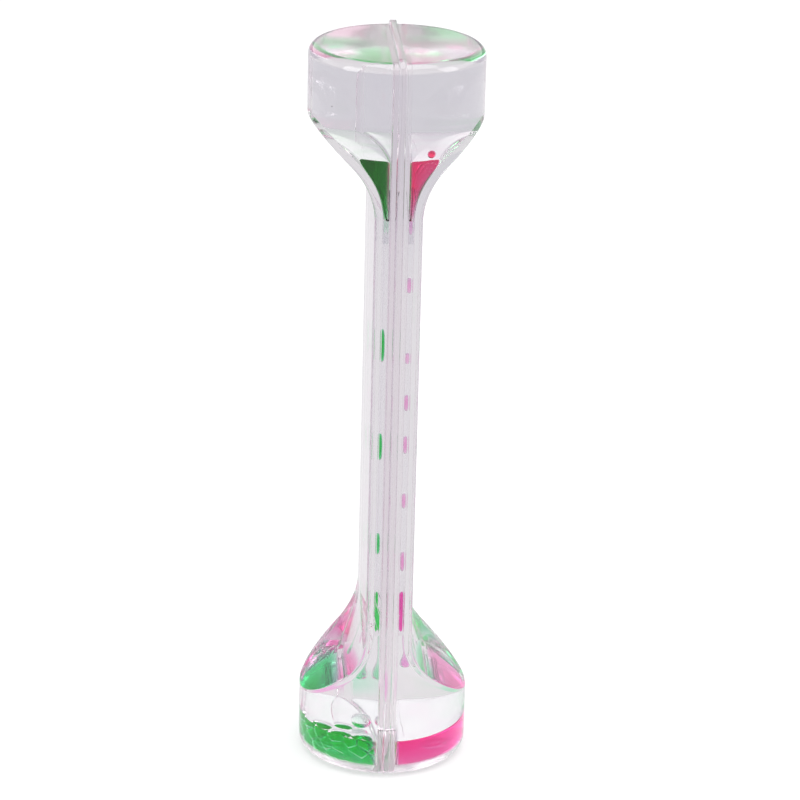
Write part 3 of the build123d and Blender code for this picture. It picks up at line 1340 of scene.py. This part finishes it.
def lathe(profile: list[Pair], middle: Point, steps: int) -> Draft:
    """Turns a profile about an upright line.

    Args:
        profile: Radius and height of each ring, from the bottom tip to the top one.
        middle: Place of the line, with the height that the profile's zero gets.
        steps: Points on each ring.

    Returns:
        The draft.
    """
    x, y, z = middle
    draft = Draft()
    rows = [
        draft.ring([
            (x + radius * math.cos(t), y + radius * math.sin(t), z + rise) for t in circle(steps)
        ])
        for radius, rise in profile
        if radius > 0
    ]
    draft.skin(rows)
    for row, (radius, rise) in ((rows[0], profile[0]), (rows[-1], profile[-1])):
        if radius > 0:
            draft.face(row)
        else:
            draft.fan(row, (x, y, z + rise))
    return draft


@dataclass(frozen=True)
class LaneDrop:
    """A drop that is squeezed flat in the lane, with its outline's and its face's fullness."""

    name: str
    dye: Dye
    lean: float
    face_power: float
    outline_power: float = 2.1
    outline_steps: int = 64
    rings: int = 15
    slack: float = 0.97
    crease: float = 80.0

    def build(self) -> None:
        """Builds the drop inside its CAD node's box and seats it."""
        low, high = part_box(self.name)
        middle, half = (low + high) / 2, (high - low) / 2
        draft = Draft()
        turns = circle(self.outline_steps)
        power, face = 2 / self.outline_power, 2 / self.face_power
        rows: list[list[int]] = []
        for t in spaced(-QUARTER, QUARTER, self.rings)[1:-1]:
            reach = math.cos(t) ** face
            x = middle.x + half.x * math.copysign(abs(math.sin(t)) ** face, t)
            points: Ring = []
            for a in turns:
                rise = math.copysign(abs(math.sin(a)) ** power, math.sin(a))
                across = math.copysign(abs(math.cos(a)) ** power, math.cos(a))
                y = middle.y + half.y * across * (1 - self.lean * rise) * reach * self.slack
                points.append((x, y, middle.z + half.z * rise * reach))
            rows.append(draft.ring(points))
        draft.skin(rows)
        draft.fan(rows[0], (middle.x - half.x, middle.y, middle.z))
        draft.fan(rows[-1], (middle.x + half.x, middle.y, middle.z))
        piece = draft.build(f"{self.name}_body", {Face.OUTER: DROP_WATER[self.dye]}, self.crease)
        settle(piece, self.name, self.name)


@dataclass(frozen=True)
class RoundDrop:
    """A free drop, round or drawn out upwards into a neck."""

    name: str
    dye: Dye
    finish: Finish
    neck_share: float = 0.0
    shoulder_share: float = 0.42
    shoulder_ease: float = 0.85
    ball_rings: int = 30
    belly_turns: Pair = (-1.45, 0.0)
    shoulder_rings: int = 16
    neck_rings: int = 6
    tip_turns: Pair = (0.2, 1.4)
    steps: int = 56
    slack: float = 0.998
    crease: float = 60.0

    def ball(self, radius: float, height: float) -> list[Pair]:
        """The profile of a round drop.

        Args:
            radius: Its radius.
            height: Its height.

        Returns:
            Radius and height of each ring.
        """
        turns = spaced(-QUARTER, QUARTER, self.ball_rings)[1:-1]
        inner = [(radius * math.cos(t), height / 2 * (1 + math.sin(t))) for t in turns]
        return [(0.0, 0.0)] + inner + [(0.0, height)]

    def pendant(self, radius: float, height: float) -> list[Pair]:
        """The profile of a drop that is drawn out into a neck.

        Args:
            radius: Its largest radius.
            height: Its height.

        Returns:
            Radius and height of each ring.
        """
        neck, shoulder = radius * self.neck_share, height * self.shoulder_share
        belly = spaced(*self.belly_turns, self.shoulder_rings)
        found = [(0.0, 0.0)]
        found += [(radius * math.cos(t), radius * (1 + math.sin(t))) for t in belly]
        for share in spaced(0.0, 1.0, self.shoulder_rings + 1)[1:]:
            ease = 0.5 + 0.5 * math.cos(math.pi * share**self.shoulder_ease)
            found.append((neck + (radius - neck) * ease, radius + shoulder * share))
        straight = spaced(radius + shoulder, height - neck, self.neck_rings + 1)[1:]
        found += [(neck, z) for z in straight]
        tip = spaced(*self.tip_turns, self.neck_rings)
        found += [(neck * math.cos(t), height - neck + neck * math.sin(t)) for t in tip]
        return found + [(0.0, height)]

    def build(self) -> None:
        """Builds the drop inside its CAD node's box and seats it."""
        foot, (width, depth, height) = standing(self.name)
        radius = min(width, depth) / 2 * self.slack
        profile = self.pendant if self.neck_share else self.ball
        draft = lathe(profile(radius, height), foot, self.steps)
        piece = draft.build(f"{self.name}_body", {Face.OUTER: self.finish}, self.crease)
        settle(piece, self.name, self.name)


@dataclass(frozen=True)
class Thread:
    """The dyed liquid that runs through a nozzle's bore."""

    name: str
    dye: Dye
    finish: Finish
    tip: float = 1.5 * MM
    most_tip: float = 2.5
    tip_rings: int = 12
    straight: Pair = (0.1, 0.9)
    straight_rings: int = 9
    steps: int = 32
    slack: float = 0.99
    crease: float = 60.0

    def build(self) -> None:
        """Builds the thread inside its CAD node's box and seats it."""
        foot, (width, _, height) = standing(self.name)
        radius = width / 2 * self.slack
        tip = min(self.tip, self.most_tip * radius)
        turns = spaced(0.0, QUARTER, self.tip_rings)
        shares = spaced(*self.straight, self.straight_rings)
        found = [(radius * math.sin(t), tip * (1 - math.cos(t))) for t in turns]
        found += [(radius, tip + (height - 2 * tip) * share) for share in shares]
        found += [(radius * math.sin(t), height - tip * (1 - math.cos(t))) for t in reversed(turns)]
        draft = lathe(found, foot, self.steps)
        piece = draft.build(f"{self.name}_body", {Face.OUTER: self.finish}, self.crease)
        settle(piece, "housing", self.name)


@dataclass(frozen=True)
class Nozzle:
    """A bar that closes one end of a lane, with a bore through its middle."""

    name: str
    gap: float = 0.04 * MM
    bore: float = 0.6 * MM
    rim: float = 0.1 * MM
    edge: float = 0.12 * MM
    steps: int = 40

    def build(self) -> None:
        """Builds the bar inside its CAD node's box and seats it."""
        low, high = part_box(self.name)
        low, high = low + Vector((self.gap,) * 3), high - Vector((self.gap,) * 3)
        middle, half = (low + high) / 2, (high - low) / 2
        turns = circle(self.steps, 0.5)

        def block(inset: float, z: float) -> Ring:
            """The bar's outline at a height.

            Args:
                inset: How far it moves inwards.
                z: The height.

            Returns:
                The outline.
            """
            points: Ring = []
            for t in turns:
                c, s = math.cos(t), math.sin(t)
                reach = 1 / max(abs(c), abs(s))
                x, y = c * reach * (half.x - inset), s * reach * (half.y - inset)
                points.append((middle.x + x, middle.y + y, z))
            return points

        def hole(radius: float, z: float) -> Ring:
            """The bore's edge at a height."""
            x, y = middle.x, middle.y
            return [(x + radius * math.cos(t), y + radius * math.sin(t), z) for t in turns]

        outlines = [
            hole(self.bore, middle.z),
            hole(self.bore, low.z + self.rim),
            hole(self.bore + self.rim, low.z),
            block(self.edge, low.z),
            block(0.0, low.z + self.edge),
            block(0.0, high.z - self.edge),
            block(self.edge, high.z),
            hole(self.bore + self.rim, high.z),
            hole(self.bore, high.z - self.rim),
        ]
        draft = Draft()
        rows = [draft.ring(outline) for outline in outlines]
        draft.skin(rows + [rows[0]])
        piece = draft.build(f"{self.name}_bar", {Face.OUTER: NOZZLE})
        settle(piece, "housing", self.name)


@dataclass(frozen=True)
class Plug:
    """A fill plug, flush with the base, with a shallow dish in its head."""

    name: str
    gap: float = 0.05 * MM
    head_radius: float = 2.6 * MM
    head_height: float = 0.9 * MM
    shank_radius: float = 1.8 * MM
    edge: float = 0.15 * MM
    dish_depth: float = 0.25 * MM
    dish_floor: float = 0.55
    dish_rim: float = 0.62
    dish_drop: float = 0.02 * MM
    steps: int = 48

    def build(self) -> None:
        """Builds the plug inside its CAD node's box and seats it."""
        (x, y, bottom), (_, _, height) = standing(self.name)
        head, shank = self.head_radius - self.gap, self.shank_radius - self.gap
        step, top = self.head_height - self.gap, bottom + height - self.gap
        profile = [
            (0.0, self.dish_depth),
            (self.dish_floor * head, self.dish_depth),
            (self.dish_rim * head, self.dish_drop),
            (head - self.edge, 0.0),
            (head, self.edge),
            (head, step),
            (shank, step),
            (shank, top - self.edge),
            (shank - self.edge, top),
            (0.0, top),
        ]
        draft = lathe(profile, (x, y, 0.0), self.steps)
        piece = draft.build(f"{self.name}_body", {Face.OUTER: PLUG})
        settle(piece, "housing", self.name)


@dataclass(frozen=True)
class Drops:
    """All drops, threads, nozzles and plugs, with each lane's count of drops and their fullness."""

    lanes: tuple[tuple[Dye, int, float], ...] = ((Dye.GREEN, 3, 4.5), (Dye.PINK, 6, 2.5))
    most_lean: float = 0.03
    lean_turn: float = 2.4
    green_neck: float = 0.28
    pink_neck: float = 0.37

    def build(self) -> None:
        """Builds and seats them."""
        for dye, count, fullness in self.lanes:
            for number in range(1, count + 1):
                lean = self.most_lean * math.sin(self.lean_turn * number)
                LaneDrop(f"{dye.word}_lane_drop_{number}", dye, lean, fullness).build()
        for dye, neck in ((Dye.GREEN, self.green_neck), (Dye.PINK, self.pink_neck)):
            RoundDrop(f"{dye.word}_hanging_drop", dye, PALE_WATER[dye], neck).build()
        RoundDrop("green_landed_drop", Dye.GREEN, CLEARED_WATER).build()
        RoundDrop("pink_bead", Dye.PINK, BEAD_WATER).build()
        for dye in Dye:
            Thread(f"{dye.word}_lower_thread", dye, THREAD_WATER[dye]).build()
            Thread(f"{dye.word}_upper_thread", dye, PALE_WATER[dye]).build()
        for side in Side:
            for level in ("lower", "upper"):
                Nozzle(f"{side.word}_{level}_nozzle").build()
            Plug(f"{side.word}_fill_plug").build()


# Studio


@dataclass(frozen=True)
class Lamp:
    """A soft lamp that faces the timer, with its width and height, and its power in watts."""

    name: str
    place: Point
    size: Pair
    power: float
    target: Point = (0.0, 0.0, 0.1)

    def build(self) -> None:
        """Adds the lamp."""
        data = bpy.data.lights.new(self.name, "AREA")
        data.shape = "RECTANGLE"
        data.size, data.size_y = self.size
        data.energy = self.power
        made = bpy.data.objects.new(self.name, data)
        made.location = self.place
        ahead = Vector(self.target) - Vector(self.place)
        made.rotation_euler = ahead.to_track_quat("-Z", "Y").to_euler()
        bpy.context.scene.collection.objects.link(made)


@dataclass(frozen=True)
class Studio:
    """The floor, the light and the camera.

    The world's heights are those of the directions that its rays run in, from -1 to 1.
    """

    floor_half: float = 3.0
    floor_drop: float = 0.25 * MM
    white: Colour = (1.0, 1.0, 1.0)
    wall_tint: Colour = (0.6, 0.585, 0.635)
    ceiling_tint: Colour = (0.97, 0.965, 0.975)
    wall_rise: Pair = (0.1, 0.42)
    panel_glow: Colour = (1.9, 1.9, 1.9)
    panel_low: Pair = (0.14, 0.2)
    panel_high: Pair = (0.45, 0.6)
    camera_place: Point = (-0.0514, -0.7595, 0.3878)
    camera_turn: float = math.radians(-4.087)
    camera_tilt: float = math.radians(20.77)
    camera_roll: float = math.radians(1.445)
    lens: float = 139.8
    sensor: float = 36.0
    nearest: float = 0.01
    bounces: int = 160
    glossy_bounces: int = 64
    clear_bounces: int = 128
    lamps: tuple[Lamp, ...] = (
        Lamp("top_lamp", (0.1, -0.15, 1.5), (1.2, 1.2), 14.0),
        Lamp("left_lamp", (-1.1, -0.5, 0.6), (0.5, 0.9), 6.0),
        Lamp("right_lamp", (1.1, -0.4, 0.7), (0.5, 0.9), 5.0),
        Lamp("rear_lamp", (0.0, 1.3, 0.79), (3.2, 0.4), 0.2),
    )

    def floor(self) -> None:
        """Builds the floor."""
        half, z = self.floor_half, -self.floor_drop
        corners = [(-half, -half, z), (half, -half, z), (half, half, z), (-half, half, z)]
        mesh = bpy.data.meshes.new("studio_floor")
        mesh.from_pydata(corners, [], [(0, 1, 2, 3)])
        mesh.materials.append(FloorPaint("studio_floor_paint").build())
        made = bpy.data.objects.new("studio_floor", mesh)
        bpy.context.scene.collection.objects.link(made)

    def world(self) -> None:
        """Builds the surroundings.

        They are white for the camera. Other rays meet a soft grey wall and a white ceiling, and
        those that are only mirrored a bright panel too.
        """
        world = bpy.data.worlds.new("studio_world")
        bpy.context.scene.world = world
        world.use_nodes = True
        graph = Graph(world.node_tree)
        height = graph.height("Generated")
        soft = graph.blend(height.spread(self.wall_rise), self.wall_tint, self.ceiling_tint)
        panel = height.spread(self.panel_low) * height.spread(self.panel_high, 1.0, 0.0)
        mirrored = graph.ray("Glossy") * (1 - graph.ray("Transmission"))
        soft = graph.blend(panel * mirrored, soft, self.panel_glow)
        colour = graph.blend(graph.ray("Camera"), soft, self.white)
        back = graph.shader("Background", {"Color": colour, "Strength": 1.0})
        graph.node("ShaderNodeOutputWorld", {}, {"Surface": back})

    def camera(self) -> None:
        """Sets the camera as the photo's was, but without its shift."""
        data = bpy.data.cameras.new("studio_camera")
        data.sensor_width = self.sensor
        data.lens = self.lens
        data.clip_start = self.nearest
        made = bpy.data.objects.new("studio_camera", data)
        flat = math.cos(self.camera_tilt)
        forth = math.cos(self.camera_turn) * flat
        ahead = Vector((-math.sin(self.camera_turn) * flat, forth, -math.sin(self.camera_tilt)))
        right = ahead.cross(Vector((0, 0, 1))).normalized()
        up = right.cross(ahead)
        c, s = math.cos(self.camera_roll), math.sin(self.camera_roll)
        right, up = c * right + s * up, c * up - s * right
        grid = Matrix((right, up, -ahead)).transposed().to_4x4()
        grid.translation = Vector(self.camera_place)
        made.matrix_world = grid
        bpy.context.scene.collection.objects.link(made)
        bpy.context.scene.camera = made

    def build(self) -> None:
        """Builds the studio."""
        self.floor()
        self.world()
        for lamp in self.lamps:
            lamp.build()
        self.camera()
        scene = bpy.context.scene
        scene.view_settings.view_transform = "Standard"
        scene.cycles.max_bounces = self.bounces
        scene.cycles.transmission_bounces = self.bounces
        scene.cycles.glossy_bounces = self.glossy_bounces
        scene.cycles.transparent_max_bounces = self.clear_bounces
        log.info("studio: %d lamps", len(self.lamps))


def main() -> None:
    """Builds the timer and the studio."""
    logging.basicConfig(level=logging.INFO, format="%(name)s: %(message)s")
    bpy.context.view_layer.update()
    housing = Housing.measured()
    housing.build()
    Liquids(housing).build()
    Drops().build()
    Studio().build()


if __name__ == "__main__":
    main()
